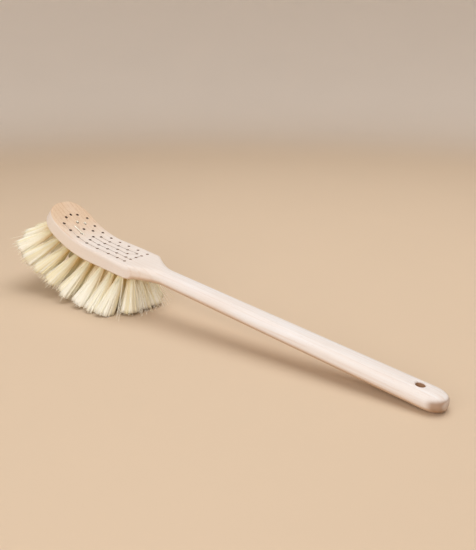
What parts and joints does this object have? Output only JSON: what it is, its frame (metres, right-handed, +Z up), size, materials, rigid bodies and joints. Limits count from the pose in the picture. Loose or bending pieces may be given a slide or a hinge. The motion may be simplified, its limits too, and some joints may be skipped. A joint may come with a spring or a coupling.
{
  "type": "bathtub brush",
  "caption": "Long-handled scrubbing brush: one-piece wooden handle and upswept head, fanned fibre tufts held by a wire stitched along the top, hanging hole in the handle.",
  "frame": {"origin": "middle of the brush's footprint, on the surface that it rests on", "axes": "+X towards the handle's end, -X towards the nose of the head, +Z up; the brush rests as pictured, on its rear tufts and the end of its handle"},
  "size_m": [0.4498, 0.0764, 0.0849],
  "materials": {
    "birch": "satin",
    "fibre": "matte",
    "wire": "satin"
  },
  "bodies": {
    "root": {"head_and_handle": "birch", "drawing_wire": "wire", "tuft_outer_01": "fibre", "tuft_outer_02": "fibre", "tuft_outer_03": "fibre", "tuft_outer_04": "fibre", "tuft_outer_05": "fibre", "tuft_outer_06": "fibre", "tuft_outer_07": "fibre", "tuft_outer_08": "fibre", "tuft_outer_09": "fibre", "tuft_outer_10": "fibre", "tuft_outer_11": "fibre", "tuft_outer_12": "fibre", "tuft_outer_13": "fibre", "tuft_outer_14": "fibre", "tuft_outer_15": "fibre", "tuft_outer_16": "fibre", "tuft_outer_17": "fibre", "tuft_outer_18": "fibre", "tuft_outer_19": "fibre", "tuft_outer_20": "fibre", "tuft_outer_21": "fibre", "tuft_outer_22": "fibre", "tuft_near_row_1": "fibre", "tuft_near_row_2": "fibre", "tuft_near_row_3": "fibre", "tuft_near_row_4": "fibre", "tuft_near_row_5": "fibre", "tuft_near_row_6": "fibre", "tuft_centre_row_1": "fibre", "tuft_centre_row_2": "fibre", "tuft_centre_row_3": "fibre", "tuft_centre_row_4": "fibre", "tuft_centre_row_5": "fibre", "tuft_centre_row_6": "fibre", "tuft_far_row_1": "fibre", "tuft_far_row_2": "fibre", "tuft_far_row_3": "fibre", "tuft_far_row_4": "fibre", "tuft_far_row_5": "fibre", "tuft_far_row_6": "fibre", "tuft_far_row_7": "fibre"}
  },
  "joints": []
}
